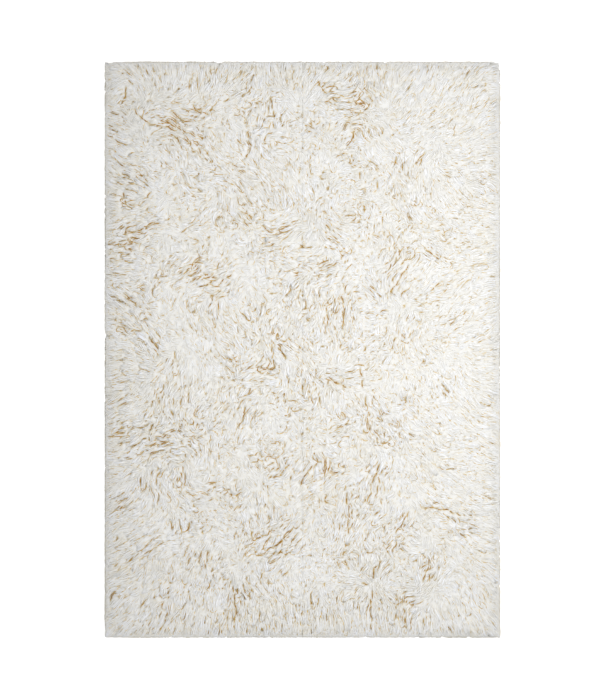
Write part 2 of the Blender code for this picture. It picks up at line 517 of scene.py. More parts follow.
def strand_heights(path, lock_of, aside, level):
    """The height of each strand over the floor, before its end hangs down."""
    room = at_points(FORM, path) - CLOTH_THICKNESS - HEADROOM
    rise = 1 - (1 - np.minimum(SHARES / RISEN, 1)) ** 2
    droop = (0.10 + 0.22 * of_lock(0, 1, lock_of))[:, None]
    droop = 1 - droop * np.maximum(SHARES - DROOPS, 0) / (1 - DROOPS)
    height = HEIGHT[0] + HEIGHT[1] * level - SIDE_DROP * aside**2
    return CLOTH_THICKNESS + room * (height[:, None] * rise * droop)


def strand_paths(lock_of, aside, root_shift):
    """Points (strands, WALK, 3) along each strand; aside is its place in the lock, from -1 to 1."""
    n = len(lock_of)
    level = 0.9 * LOCK_LEVEL[lock_of] + 0.1 * rng.uniform(0, 1, n)
    path = np.zeros((n, WALK, 3))
    path[..., :2] = LOCK_PATHS[lock_of] + LOCK_ACROSS[lock_of] * spread_aside(lock_of, aside)[..., None]
    path[..., :2] += root_shift[:, None]
    slack = rng.uniform(-0.0006, 0.0008, (n, 1))
    path[..., 0], hanging_x = settle_inside(path[..., 0], WIDTH / 2, slack)
    path[..., 1], hanging_y = settle_inside(path[..., 1], LENGTH / 2, slack)
    path[..., 2] = strand_heights(path, lock_of, aside, level)
    hanging = rng.uniform(0.6, 1.3, (n, 1)) * (hanging_x + hanging_y)
    path[..., 2] -= np.minimum(hanging, np.maximum(path[..., 2] - OFF_FLOOR, 0))
    return path


lock_of = np.repeat(np.arange(len(locks)), STRANDS_IN_LOCK)
aside = np.tile((np.arange(STRANDS_IN_LOCK) + 0.5) / STRANDS_IN_LOCK * 2 - 1, len(locks))
aside = aside + rng.uniform(-0.07, 0.07, len(aside))
lengthwise = rng.uniform(-0.007, 0.007, len(aside))[:, None]
root_shift = np.stack([LOCK_ACROSS[lock_of, 0, 1], -LOCK_ACROSS[lock_of, 0, 0]], 1) * lengthwise
strands = strand_paths(lock_of, aside, root_shift)
print(f"strands: {len(strands)}, highest {strands[:, :, 2].max() * 1000:.1f} mm")

# %% [markdown]
# ## Fill the bald places
#
# Where the comb parts the pile, the locks lean away on both sides and would leave the cloth bald.
# On a real rug the wool between them stands up and curls over the parting. So we look for cells of
# a grid that few strands cross, and lay more strands of the nearest lock over them.

# %% Find the thin places
COVER_CELL = 0.008


def points_along(paths, start, end, count):
    """The points at count shares of the length, from start to end, one set after another."""
    for t in np.linspace(start, end, count) * (WALK - 1):
        k, part = int(t), t % 1
        yield paths[:, k] * (1 - part) + paths[:, k + 1] * part


def grid_cells(places, half_x, half_y, shape):
    """The cell of a grid that each place falls in."""
    i = np.round((places[:, 0] + half_x) / (2 * half_x) * (shape[0] - 1)).astype(int)
    j = np.round((places[:, 1] + half_y) / (2 * half_y) * (shape[1] - 1)).astype(int)
    return np.clip(i, 0, shape[0] - 1), np.clip(j, 0, shape[1] - 1)


def eased(grid, rounds):
    """The grid with each value pulled towards its neighbours."""
    for _ in range(rounds):
        padded = np.pad(grid, 1, mode="edge")
        beside = padded[:-2, 1:-1] + padded[2:, 1:-1] + padded[1:-1, :-2] + padded[1:-1, 2:]
        grid = 0.5 * grid + 0.125 * beside
    return grid


def thin_places(count):
    """The middles of the cells with the least wool on top, as many as are asked for."""
    shape = (round(2 * cloth_half_x / COVER_CELL) + 1, round(2 * cloth_half_y / COVER_CELL) + 1)
    cover = np.zeros(shape)
    for place in points_along(strands, 0.42, 0.97, 20):
        np.add.at(cover, grid_cells(place, cloth_half_x, cloth_half_y, shape), 1)
    order = np.argsort(eased(cover, 4).ravel() + rng.uniform(0, 2, cover.size))[:count]
    i, j = np.unravel_index(order, shape)
    x = (i / (shape[0] - 1) * 2 - 1) * cloth_half_x
    y = (j / (shape[1] - 1) * 2 - 1) * cloth_half_y
    return np.stack([x, y], 1)


print(f"cells of {COVER_CELL * 1000:.0f} mm count how many strands cross them")

# %% [markdown]
# The filling goes in by rounds, and the thin places are looked for again before each one, so that
# it doesn't heap up where the first strands have already closed a gap.

# %% Lay more strands there
FILLING_COUNT = 4500
FILLING_ROUNDS = 3
LIES_OVER = 11  # the place of the walk at which a lock lies flat on its neighbours


def nearest(places, centres):
    """For each place the index of the nearest centre."""
    tree = KDTree(len(centres))
    for i, (x, y) in enumerate(centres):
        tree.insert((x, y, 0), i)
    tree.balance()
    return np.array([tree.find((x, y, 0))[1] for x, y in places])


for _ in range(FILLING_ROUNDS):
    bald = thin_places(FILLING_COUNT // FILLING_ROUNDS)
    lock_of_bald = nearest(bald, LOCK_PATHS[:, LIES_OVER])
    aside_bald = rng.uniform(-0.8, 0.8, len(bald))
    shift = bald - LOCK_PATHS[lock_of_bald, LIES_OVER]
    strands = np.concatenate([strands, strand_paths(lock_of_bald, aside_bald, shift)])
    lock_of = np.concatenate([lock_of, lock_of_bald])
print(f"strands with filling: {len(strands)}")

# %% [markdown]
# ## The top of the pile
#
# A strand is only the part of a lock that the eye picks out: fluff fills the lock around it. We map
# the top of that fluff on a fine grid. Each strand lifts the cells that it crosses, and the cells
# beside them a little less, as if it were a soft round roll.

# %% Map the top of the fluff
MAP_STEP = 0.0025
FLUFF_RADIUS = 0.0045
RIM_RADIUS = 0.0010  # the fluff lies close to the strands where the pile rolls over
RIM = (0.012, 0.035)  # the rim's fluff gives way to the full fluff between these distances
MAP_SHAPE = (round(WIDTH / MAP_STEP) + 1, round(LENGTH / MAP_STEP) + 1)
WHOLE_RUG = np.meshgrid(
    np.linspace(-WIDTH / 2, WIDTH / 2, MAP_SHAPE[0]),
    np.linspace(-LENGTH / 2, LENGTH / 2, MAP_SHAPE[1]),
    indexing="ij",
)
MAP_INSET = inset(*WHOLE_RUG)


def raise_cells(grid, points, values):
    """Raises the map's cells under some points to at least their values."""
    np.maximum.at(grid, grid_cells(points, WIDTH / 2, LENGTH / 2, MAP_SHAPE), values)


def lifted(grid, radius, cells):
    """The grid with each value spread to its neighbours as a round roll of that radius."""
    rolled = grid.copy()
    padded = np.pad(grid, cells, mode="edge")
    for i in range(2 * cells + 1):
        for j in range(2 * cells + 1):
            away = math.hypot(i - cells, j - cells) * MAP_STEP
            drop = away * away / (2 * radius)
            rolled = np.maximum(rolled, padded[i : i + grid.shape[0], j : j + grid.shape[1]] - drop)
    return rolled


def fluff_map(paths):
    """The height of the fluff's top in each cell of the map."""
    heights = np.zeros(MAP_SHAPE)
    for place in points_along(paths, 0.15, 0.98, 56):
        raise_cells(heights, place, place[:, 2])
    at_rim = lifted(heights, RIM_RADIUS, 2)
    return at_rim + (lifted(heights, FLUFF_RADIUS, 4) - at_rim) * ramp(MAP_INSET, *RIM)


FLUFF = fluff_map(strands)
print(f"fluff: {FLUFF.min() * 1000:.1f} to {FLUFF.max() * 1000:.1f} mm high")

# %% [markdown]
# ## Partings
#
# Where locks draw apart, the eye looks down between them to the foot of the pile. The wool there has
# kept its golden tone, for bleach and daylight hardly reach it, and its colour here also paints the
# shade down in the parting. There are most of these partings, and the deepest, where the pile has been
# ruffled. Those places are listed, and the rest is left to smooth chance.

# %% Where the pile is ruffled most
RUFFLED = (
    # x, y, reach of the places where the pile has been ruffled most: across the north
    (-0.50, 0.79, 0.06), (-0.44, 0.74, 0.05), (-0.37, 0.84, 0.04), (-0.60, 0.63, 0.05),
    (-0.18, 0.75, 0.05), (-0.12, 0.88, 0.04), (-0.56, 0.44, 0.06), (-0.63, 0.39, 0.04),
    (-0.62, 0.52, 0.03), (-0.24, 0.48, 0.04), (-0.59, 0.82, 0.04), (-0.38, 0.74, 0.04),
    (-0.44, 0.92, 0.03), (-0.09, 0.41, 0.04), (0.08, 0.92, 0.03), (0.14, 0.88, 0.03),
    (0.23, 0.88, 0.04), (0.15, 0.69, 0.05), (0.08, 0.60, 0.03), (0.34, 0.66, 0.03), (0.37, 0.47, 0.03),
    (0.05, 0.45, 0.05), (0.19, 0.77, 0.03), (0.36, 0.55, 0.03),
    # across the middle
    (-0.35, 0.27, 0.06), (-0.56, 0.17, 0.05), (-0.62, 0.08, 0.05), (-0.54, 0.02, 0.04),
    (-0.08, 0.02, 0.03), (-0.14, -0.07, 0.04), (-0.05, 0.23, 0.05), (-0.12, 0.17, 0.03),
    (-0.47, -0.30, 0.06), (-0.55, -0.27, 0.04), (-0.20, -0.23, 0.04), (-0.64, -0.29, 0.04),
    (-0.15, 0.34, 0.05), (0.46, 0.33, 0.03), (0.08, 0.17, 0.04), (0.30, 0.22, 0.05),
    (0.21, -0.08, 0.05), (0.22, -0.25, 0.06), (0.14, -0.27, 0.04), (0.51, -0.12, 0.04),
    (0.12, -0.11, 0.04), (0.38, -0.18, 0.03), (0.07, 0.29, 0.04), (0.50, 0.21, 0.04),
    (0.15, 0.15, 0.04),
    # across the south
    (-0.43, -0.42, 0.06), (-0.08, -0.41, 0.06), (-0.47, -0.62, 0.03), (-0.25, -0.52, 0.04),
    (-0.08, -0.69, 0.06), (-0.14, -0.74, 0.04), (-0.24, -0.86, 0.05), (-0.64, -0.55, 0.03),
    (0.03, -0.42, 0.05), (0.09, -0.42, 0.04), (0.26, -0.46, 0.05), (0.15, -0.61, 0.06),
    (0.24, -0.79, 0.05), (0.44, -0.79, 0.05), (0.40, -0.90, 0.04), (0.46, -0.56, 0.05),
    (0.56, -0.62, 0.05), (0.35, -0.62, 0.03), (0.24, -0.90, 0.04),
)


def ruffled(x, y):
    """How ruffled the pile is: 0 where it lies smooth, 1 and more where it has been ruffled."""
    share = 0.40 + 0.35 * smooth_field(x, y, 0.10, 41) + 0.30 * smooth_field(x, y, 0.045, 42)
    for place_x, place_y, reach in RUFFLED:
        share += 0.6 * np.exp(-((x - place_x) ** 2 + (y - place_y) ** 2) / reach**2)
    smoother_east = 0.45 * ramp(x, 0.20, 0.60)
    return np.clip(share - smoother_east, 0, 1.5)


print(f"most ruffled places: {len(RUFFLED)}")

# %% [markdown]
# A parting between single locks is short and narrow and follows the side of a lock, or hooks round
# its tip. So each lock gets an outline, and random stretches of it are the partings to choose from.

# %% Trace stretches of the locks' outlines
TIP = round(0.90 * (WALK - 1))  # the place of the walk from which the outline rounds the tip
OUTLINE_START = 4  # the outline starts and ends at this place of the walk
OUTLINE_SIZES = (1.1, 1.1, 1.1, 1.0, 0.5)  # the last one is a small lock within the lock


def lock_outlines(size):
    """Each lock's outline from above: up one side, round the tip and down the other side."""
    tips = LOCK_PATHS[:, TIP]
    sides = LOCK_ACROSS[:, TIP]
    ahead = np.stack([sides[:, 1], -sides[:, 0]], 1)
    half_width = size * LOCK_HALF_WIDTH * (1 - 0.42 * SHARES[:TIP] ** 1.4)
    left = LOCK_PATHS[:, :TIP] + LOCK_ACROSS[:, :TIP] * half_width[:, None]
    right = LOCK_PATHS[:, :TIP] - LOCK_ACROSS[:, :TIP] * half_width[:, None]
    turns = np.radians(np.linspace(80, -80, 7))[:, None]
    round_tip = tips[:, None] + half_width[-1] * (
        np.sin(turns) * sides[:, None] + 1.3 * np.cos(turns) * ahead[:, None]
    )
    return np.concatenate([left[:, OUTLINE_START:], round_tip, right[:, : OUTLINE_START - 1 : -1]], axis=1)


def along_paths(paths, at):
    """The points of each path at fractional places of its own."""
    place = np.minimum(at.astype(int), paths.shape[1] - 2)
    part = (at - place)[..., None]
    rows = np.arange(len(paths))[:, None]
    return paths[rows, place] * (1 - part) + paths[rows, place + 1] * part


def lock_sides():
    """A short stretch of each outline, as a path of WALK points."""
    outlines = np.concatenate([lock_outlines(size) for size in OUTLINE_SIZES])
    n, count = outlines.shape[:2]
    # Most stretches are short, and a few take up nearly half of the outline.
    stretch = np.minimum(rng.gamma(2.4, 0.060, n) + 0.05, 0.45)
    start = rng.uniform(0, 1 - stretch)
    return along_paths(outlines, (start[:, None] + stretch[:, None] * SHARES).clip(0, 0.999) * (count - 1))


SIDES = lock_sides()
print(f"stretches to choose from: {len(SIDES)}")

# %% [markdown]
# We pick the stretches that run along the deepest dips of the fluff, as real partings do, with a
# little more weight on ruffled places and on some locks that stand out whole. There is at most one to
# a cell of a grid, or they would crowd together.

# %% Choose the partings
PARTING_COUNT = 11000
PARTING_CELL = 0.011
BROAD = 24  # rounds of easing that leave only the pile's broad shape
SHALLOW = 6  # a stretch counts as deep as all but this many of its places are
RUFFLED_BONUS = 0.0015  # being ruffled counts as this much depth
STANDS_OUT = 0.0013  # how much some locks count as standing out from the pile
CHANCE = 0.0006
CLEAR_OF_EDGE = 0.006


def side_scores(dip, sides):
    """How well each stretch would do as a parting."""
    depth = np.sort(at_points(dip, sides), axis=1)[:, SHALLOW]
    proud = np.tile(rng.normal(0, STANDS_OUT, len(locks)), len(OUTLINE_SIZES))
    score = depth + RUFFLED_BONUS * ruffled(*sides[:, MIDDLE].T) + proud
    score += rng.normal(0, CHANCE, len(sides))
    score[inset(sides[..., 0], sides[..., 1]).min(axis=1) < CLEAR_OF_EDGE] = -1
    return score


def one_to_a_cell(places, order, count):
    """The first count indices in that order, with only the first one of each cell."""
    cells = [tuple(cell) for cell in (places // PARTING_CELL).astype(int)]
    first_in = {}
    for index in order:
        first_in.setdefault(cells[index], index)
    return list(first_in.values())[:count]


scores = side_scores(eased(FLUFF, BROAD) - FLUFF, SIDES)
chosen = one_to_a_cell(SIDES[:, MIDDLE], np.argsort(-scores), PARTING_COUNT)
chosen_sides = SIDES[chosen]
# A few partings are strong, and most are faint.
rank = np.linspace(1, 0, len(chosen))
chosen_strength = 0.10 + 0.82 * rank**2.8 * rng.uniform(0.3, 1, len(chosen))
chosen_strength *= 0.52 + 0.58 * np.minimum(ruffled(*chosen_sides[:, MIDDLE].T), 1.2)
print(f"partings between locks: {len(chosen)}")

# %% [markdown]
# The main partings are listed as lines of points, but a smooth line would look drawn. So each becomes a
# chain of short, slightly bent ones that overlap, like tiles on a roof.

# %% Lay the main partings as chains
LINK_LENGTH = 0.026


def unit(vectors):
    """The vectors at length 1."""
    return vectors / np.maximum(np.linalg.norm(vectors, axis=-1, keepdims=True), 1e-9)


def bent(path):
    """The path with a bend and a wave of its own."""
    across = unit(path[-1] - path[0])[::-1] * (1, -1)
    bend = rng.uniform(-0.0022, 0.0022) + rng.uniform(-0.004, 0.004) * (SHARES - 0.5)
    bend += rng.uniform(0.0008, 0.0022) * np.sin(rng.uniform(0, 6.3) + SHARES * rng.uniform(3, 6))
    return path + across * bend[:, None]


def chain(points):
    """The links of one main parting, as paths of WALK points."""
    run = np.concatenate([[0], np.cumsum(np.linalg.norm(np.diff(points, axis=0), axis=1))])
    count = max(round(run[-1] / LINK_LENGTH), 1)
    for link in range(count):
        start, end = (link + rng.uniform(-0.25, 0.05)) / count, (link + 1.1) / count
        along = (start + (end - start) * SHARES) * run[-1]
        yield bent(np.stack([np.interp(along, run, axis) for axis in points.T], 1))


links = np.array([link for points in map(parting_points, PARTINGS) for link in chain(points)])
partings = np.concatenate([chosen_sides, links])
parting_strength = np.append(chosen_strength, rng.uniform(0.65, 1, len(links)))
print(f"links of the main partings: {len(links)}")

# %% [markdown]
# Each parting is pressed into the pile, deepest at its middle: in the map of the top and in the
# strands beside it. What is pressed below the broad shape of the pile becomes golden, with a painted
# shade that deepens with the depth, and a second map, of crests and hollows, paints light on the
# crests and shade in the hollows.

# %% Press the partings in
PARTING_DEPTH = 0.013
NARROW = 0.0011  # the smaller, the narrower a parting
GOLD_DEPTH = 0.010  # wool this far below the broad shape is golden all through, and in its deepest painted shade
PAINTED_LIGHT_HEIGHT = 0.008  # wool this far above it gets the most painted light, and as far below it the most painted shade


def pressed_map(paths, strength):
    """How far the pile is pressed down at each cell of the map."""
    pressed = np.zeros(MAP_SHAPE)
    for place, share in zip(points_along(paths, 0.0, 0.999, 40), np.linspace(0, 1, 40)):
        ends = math.sin(math.pi * (0.08 + 0.84 * share)) ** 0.7
        raise_cells(pressed, place, PARTING_DEPTH * strength * ends)
    return lifted(pressed, NARROW, 2)


PRESSED = pressed_map(partings, parting_strength)
TOP = np.maximum(FLUFF - PRESSED, CLOTH_THICKNESS + 0.002)
BROAD_TOP = eased(TOP, BROAD)
# Golden, with painted shade that deepens below the broad shape of the pile.
GOLD_AND_SHADE = np.clip((BROAD_TOP - TOP) / GOLD_DEPTH, 0, 1) * ramp(MAP_INSET, 0.004, 0.02)
# Painted light on crests and painted shade in hollows.
RELIEF_LIGHT_AND_SHADE = np.clip((TOP - BROAD_TOP) / PAINTED_LIGHT_HEIGHT, -1, 1)
strands[..., 2] -= np.minimum(at_points(PRESSED, strands), strands[..., 2] * 0.6)
print(f"partings: {len(partings)}; {(PRESSED > 0.002).mean():.1%} of the rug is pressed over 2 mm deep")

# %% [markdown]
# ## The level of the fleece
#
# The fluff will be a coarser surface, a little below the top of the strands. In smooth places it
# stands almost level with them and hides most of the gaps. In ruffled places, and where the ends of
# the locks hang down, it lies lower, so that the strands stand out. Its level is set here, because
# the golden wool has to lie on it.

# %% Set the fleece's level
FLEECE_STEP = 0.0060
FLEECE_INSET = 0.0035
FLEECE_BELOW = (0.0007, 0.0017)  # how far it lies below the top: in smooth and in ruffled places
HANGING = (0.015, 0.06)  # the hanging ends give way to the flat pile between these distances
fleece_half = (WIDTH / 2 - FLEECE_INSET, LENGTH / 2 - FLEECE_INSET)
fleece_shape = [2 * round(half / FLEECE_STEP) + 1 for half in fleece_half]
FLEECE_X, FLEECE_Y = np.meshgrid(
    *(np.linspace(-half, half, count) for half, count in zip(fleece_half, fleece_shape)), indexing="ij"
)
at_border = 1 - ramp(inset(FLEECE_X, FLEECE_Y), *HANGING)
loose = np.maximum(np.minimum(ruffled(FLEECE_X, FLEECE_Y), 1), at_border)
below_top = FLEECE_BELOW[0] + (FLEECE_BELOW[1] - FLEECE_BELOW[0]) * loose
FLEECE_Z = np.maximum(at_place(TOP, FLEECE_X, FLEECE_Y) - below_top, CLOTH_THICKNESS + 0.001)


def fleece_height(points):
    """The height of the fleece's surface at some points."""
    across, along = (points[..., axis] / fleece_half[axis] * 0.5 + 0.5 for axis in (0, 1))
    return between(FLEECE_Z, across * (fleece_shape[0] - 1), along * (fleece_shape[1] - 1))


print(f"fleece: {fleece_shape[0]} x {fleece_shape[1]} places")

# %% [markdown]
# ## Keep what shows
#
# Many strands lie wholly under others. The fluff stands in for those, so we keep only the strands
# that come near the top of the fluff, and of each only the stretch that does and that lies across no
# parting.

# %% Find where each strand shows
KEPT_COUNT = 35500
NEAR_TOP = 0.0022
CLEAR = 0.0050  # a strand doesn't lie across a parting that is pressed deeper than this
HANGS = 0.02  # a strand that ends nearer to the outline than this hangs down whole


def longest_clear(paths, starts, ends, count=65):
    """The longest stretch of each strand that lies across no parting, as two shares of its length."""
    steps = np.linspace(0, 0.999, count)
    run, best, best_end = np.zeros((3, len(paths)))
    for share, place in zip(steps, points_along(paths, 0, 0.999, count)):
        clear = at_points(PRESSED, place) < CLEAR
        run = (run + 1) * (clear & (share >= starts) & (share <= ends))
        best_end = np.where(run > best, share, best_end)
        best = np.maximum(run, best)
    return np.maximum(best_end - (best - 1) * steps[1], 0), best_end


shows = at_points(TOP, strands) - strands[..., 2] < NEAR_TOP
shows[:, :3] = False
first = np.argmax(shows, axis=1)
last = WALK - 1 - np.argmax(shows[:, ::-1], axis=1)
starts = np.maximum(first - 1.5, 1) / (WALK - 1)
ends = np.minimum(last + 1.0, WALK - 1) / (WALK - 1)
ends[inset(strands[:, -1, 0], strands[:, -1, 1]) < HANGS] = 1
starts, ends = longest_clear(strands, starts, ends)
shown = np.where(shows.any(axis=1), ends - starts, 0)
kept = np.sort(np.argsort(-shown - rng.uniform(0, 0.06, len(strands)))[:KEPT_COUNT])
strands, lock_of, starts, ends = strands[kept], lock_of[kept], starts[kept], ends[kept]
print(f"strands kept: {len(strands)}, showing {(ends - starts).mean():.0%} of their length")

# %% [markdown]
# ## From strand to mesh
#
# Each strand becomes a closed, slightly flattened body: a point, a few three-sided sections and a
# point at the tip. Smooth shading rounds the three sides, and a closed body keeps the mesh sound.
# First the sections are placed along each path, with the vectors to their side and up.

# %% Place the sections along the strands
SECTION = ((-1.0, -0.5), (1.0, -0.5), (0.0, 1.0))  # across and up, for each of its three corners
LOWEST = 0.0005  # nothing sinks into the floor


def sections_along(paths, starts, ends, count):
    """The middles of count sections of each path, and the unit vectors to their side and up."""
    share = np.linspace(0, 1, count) ** 0.9
    middles = along_paths(paths, (starts[:, None] + (ends - starts)[:, None] * share) * (WALK - 1))
    along = unit(np.gradient(middles, axis=1))
    side = unit(np.cross(along, np.array([0.0, 0.0, 1.0])) + 1e-6)
    return middles, side, np.cross(side, along)


def body_vertices(paths, starts, ends, swell, half_width, half_height, roll):
    """Vertices of closed bodies around each path: a point, a ring for each section, and a point."""
    middles, side, up = sections_along(paths, starts, ends, len(swell))
    c, s = np.cos(roll)[:, None, None], np.sin(roll)[:, None, None]
    side, up = side * c + up * s, up * c - side * s
    points = [middles[:, 0]]
    for k in range(1, len(swell) - 1):
        for across, rise in SECTION:
            aside = side[:, k] * (across * half_width * swell[k])[:, None]
            lift = up[:, k] * (rise * half_height * swell[k])[:, None]
            points.append(middles[:, k] + aside + lift)
    points.append(middles[:, -1])
    vertices = np.stack(points, axis=1)
    vertices[..., 2] = np.maximum(vertices[..., 2], LOWEST)
    return vertices


print(f"a section has {len(SECTION)} corners, and nothing lies under {LOWEST * 1000:.1f} mm")

# %% [markdown]
# All bodies of one kind have the same faces, so these are listed once. Each corner also knows its
# place round the section and its share of the length, for the material's grain.

# %% Close the bodies with faces
def body_faces(rings):
    """Faces of one body as lists of corners: (vertex, place round the section, share of the length)."""
    t = np.linspace(0, 1, rings + 2)
    faces = []
    for j in range(3):
        a, b = 1 + j, 1 + (j + 1) % 3
        faces.append([(0, j + 0.5, t[0]), (a, j, t[1]), (b, j + 1, t[1])])
    for k in range(rings - 1):
        for j in range(3):
            a, b = 1 + 3 * k + j, 1 + 3 * k + (j + 1) % 3
            lower, upper = t[k + 1], t[k + 2]
            faces.append([(a, j, lower), (a + 3, j, upper), (b + 3, j + 1, upper), (b, j + 1, lower)])
    last = 1 + 3 * (rings - 1)
    for j in range(3):
        a, b = last + j, last + (j + 1) % 3
        faces.append([(a, j, t[rings]), (last + 3, j + 0.5, t[rings + 1]), (b, j + 1, t[rings])])
    return faces


def bodies_mesh(name, vertices, corner_vertex, face_sizes):
    """A mesh of many like bodies, made in one go, for a loop over them would take minutes."""
    n, per_body = vertices.shape[:2]
    own = np.arange(n)[:, None]
    loops = (corner_vertex + own * per_body).ravel()
    starts = np.concatenate([[0], np.cumsum(face_sizes)[:-1]])
    starts = (starts + own * face_sizes.sum()).ravel()
    mesh = bpy.data.meshes.new(name)
    mesh.vertices.add(n * per_body)
    mesh.vertices.foreach_set("co", vertices.astype(np.float32).ravel())
    mesh.loops.add(len(loops))
    mesh.loops.foreach_set("vertex_index", loops.astype(np.int32))
    mesh.polygons.add(len(starts))
    mesh.polygons.foreach_set("loop_start", starts.astype(np.int32))
    mesh.update(calc_edges=True)
    return mesh


print(f"faces of a short, a middling and a long strand: {[len(body_faces(rings)) for rings in (2, 3, 4)]}")

# %% [markdown]
# ## Numbers for the material
#
# A material can't know which strand it is on, or how deep in the pile. So each mesh carries numbers
# that the material reads: how golden the wool is, with painted shade, how high in tone, with painted
# light and shade, and how much painted shade darkens it along the outline, at each vertex, and for
# the strands the place round the section, the share of the length and the strand's own number.

# %% Tone, painted light and painted shade of a place
DARKEST_PAINTED_SHADE = 0.095  # how much darker the painted shade makes the wool at most


def relief_light_shade_and_tone(x, y):
    """What the place adds to the tone: painted light on crests and painted shade in hollows, and a random
    tone.
    """
    return 0.55 * at_place(RELIEF_LIGHT_AND_SHADE, x, y) + 0.18 * smooth_field(x, y, 0.05, 71)


def painted_shade_at(x, y):
    """Painted shade: the share of its colour that the pile keeps, less along the outline and towards the
    west.
    """
    edge = inset(x, y)
    far_west, far_east = ramp(-x, 0.60, 0.68), ramp(x, 0.60, 0.68)
    grey = (1 - ramp(edge, 0, 0.014)) * (0.7 + 0.3 * far_west) + 0.28 * (1 - ramp(edge, 0, 0.22))
    grey += (0.22 + 0.30 * far_east) * (1 - ramp(edge, 0.01, 0.06)) + 0.38 * ramp(-x, 0.40, 0.68)
    return 1 - DARKEST_PAINTED_SHADE * grey


print(f"wear at the west edge: {painted_shade_at(np.array([-WIDTH / 2]), np.zeros(1))[0]:.2f}")

# %% [markdown]
# A number for each vertex is a point attribute. The places on a strand are stored at the corners of
# the faces instead: where a section's round closes, one vertex is both its start and its end. The
# bake map is for other programs, which can't run our nodes and need them painted into images.

# %% Store the numbers in a mesh
BAKE_U = (0.08, 0.84)  # where across its cell of the bake map a strand starts, and how much it fills
BAKE_V = (0.05, 0.90)  # and the same along the cell
BAKE_SHAPE = 2.2  # how much taller than wide a cell is
OWN_NUMBER = 7.0  # the strands' own numbers are this far apart, so that no two share a grain


def store_wool_numbers(mesh, points, gold, tone):
    """Stores the numbers that the wool's material reads at each vertex."""
    x, y = points[..., 0], points[..., 1]
    # The gold carries painted shade, the tone painted light and shade, and the last number is painted shade
    # along the outline and towards the west.
    for name, values in (("gold", gold), ("tone", tone + relief_light_shade_and_tone(x, y)), ("painted_shade", painted_shade_at(x, y))):
        numbers = mesh.attributes.new(name, "FLOAT", "POINT")
        numbers.data.foreach_set("value", values.astype(np.float32).ravel())


def store_strand_numbers(mesh, count, corner_round, corner_share):
    """Stores each corner's place on its strand, and gives each strand a cell of the bake map."""
    own = np.arange(count)[:, None]
    columns = math.ceil(math.sqrt(count * BAKE_SHAPE))
    rows = math.ceil(count / columns)
    u = (own % columns + BAKE_U[0] + BAKE_U[1] * corner_round) / columns
    v = (own // columns + BAKE_V[0] + BAKE_V[1] * corner_share) / rows
    bake_map = mesh.uv_layers.new(name="OFBake")
    bake_map.uv.foreach_set("vector", np.stack([u, v], -1).astype(np.float32).ravel())
    strand_map = mesh.attributes.new("strand", "FLOAT_VECTOR", "CORNER")
    places = np.stack(np.broadcast_arrays(corner_round, corner_share, OWN_NUMBER * own), -1)
    strand_map.data.foreach_set("vector", places.astype(np.float32).ravel())


print(f"a cell of the bake map is {BAKE_SHAPE} times as tall as it is wide")

# %% [markdown]
# A mesh becomes a piece of the rug when an object holds it, rides on the rug's body and says which
# finish it takes. Every piece of wool goes the same way.

# %% Turn a mesh into a piece of the rug
def triangles(mesh):
    """The number of triangles in a mesh."""
    return sum(len(face.vertices) - 2 for face in mesh.polygons)


def wool_piece(mesh, material):
    """One piece of the pile, which rides on the rug's body."""
    if mesh.validate():
        print(f"{mesh.name}: mesh needed mending")
    mesh.shade_smooth()
    mesh.materials.append(material)
    piece = bpy.data.objects.new(mesh.name, mesh)
    bpy.context.scene.collection.objects.link(piece)
    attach(piece, "root")
    print(f"{mesh.name}: {triangles(mesh)} triangles")
    return piece


print(f"the solid form: {triangles(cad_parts['rug'].data)} triangles")

# %% [markdown]
# ## Materials from nodes
#
# An image would be the quick way to colour wool, but nodes stay sharp at any distance. A node is made
# in the same few lines each time: it is added, its settings are made, and its inputs are set or
# joined to other nodes. So one helper does all that and hands back the output that we use.

# %% A helper for nodes
def new_material(name):
    """A material with nodes: a shader, and the output that it feeds."""
    material = bpy.data.materials.new(name)
    material.use_nodes = True
    return material


def feed(node, inputs):
    """Sets each input of a node to a value, or joins it to another node's output."""
    for name, value in inputs.items():
        if isinstance(value, bpy.types.NodeSocket):
            node.id_data.links.new(value, node.inputs[name])
        else:
            node.inputs[name].default_value = value


def add_node(material, kind, output, inputs, **settings):
    """Adds a node with its settings and inputs, and gives the output of it that we use."""
    node = material.node_tree.nodes.new("ShaderNode" + kind)
    for name, value in settings.items():
        setattr(node, name, value)
    feed(node, inputs)
    return node.outputs[output]


print(f"materials so far: {len(bpy.data.materials)}")

# %% [markdown]
# Some nodes come up again and again: a stored number, two colours multiplied, a colour ramp, and the
# bumps that give the fibres their fine relief.

# %% The nodes that come up again and again
BUMP_HEIGHT = 0.001


def stored(material, name, output="Fac"):
    """What the mesh stores under that name."""
    return add_node(material, "Attribute", output, {}, attribute_name=name)


def times(material, colour, other):
    """Two colours multiplied."""
    return add_node(material, "VectorMath", "Vector", {0: colour, 1: other}, operation="MULTIPLY")


def dimmed(material, colour, share):
    """A colour made darker or lighter by one number."""
    return add_node(material, "VectorMath", "Vector", {0: colour, "Scale": share}, operation="SCALE")


def colour_ramp(material, factor, stops):
    """A ramp through some colours, each at its place from 0 to 1."""
    colour = add_node(material, "ValToRGB", "Color", {"Fac": factor})
    elements = colour.node.color_ramp.elements
    for place, _ in stops[1:-1]:
        elements.new(place)
    for element, (place, tint) in zip(elements, stops):
        element.position = place
        element.color = (*tint, 1)
    return colour


def finish_surface(material, colour, height, bumps, plain_numbers):
    """Feeds a material's shader with its colour, its bumps and some plain numbers."""
    bump_inputs = {"Height": height, "Strength": bumps, "Distance": BUMP_HEIGHT}
    bump = add_node(material, "Bump", "Normal", bump_inputs)
    shader = material.node_tree.nodes["Principled BSDF"]
    feed(shader, {"Base Color": colour, "Normal": bump, **plain_numbers})
    return material


print(f"bumps: up to {BUMP_HEIGHT * 1000:.0f} mm")
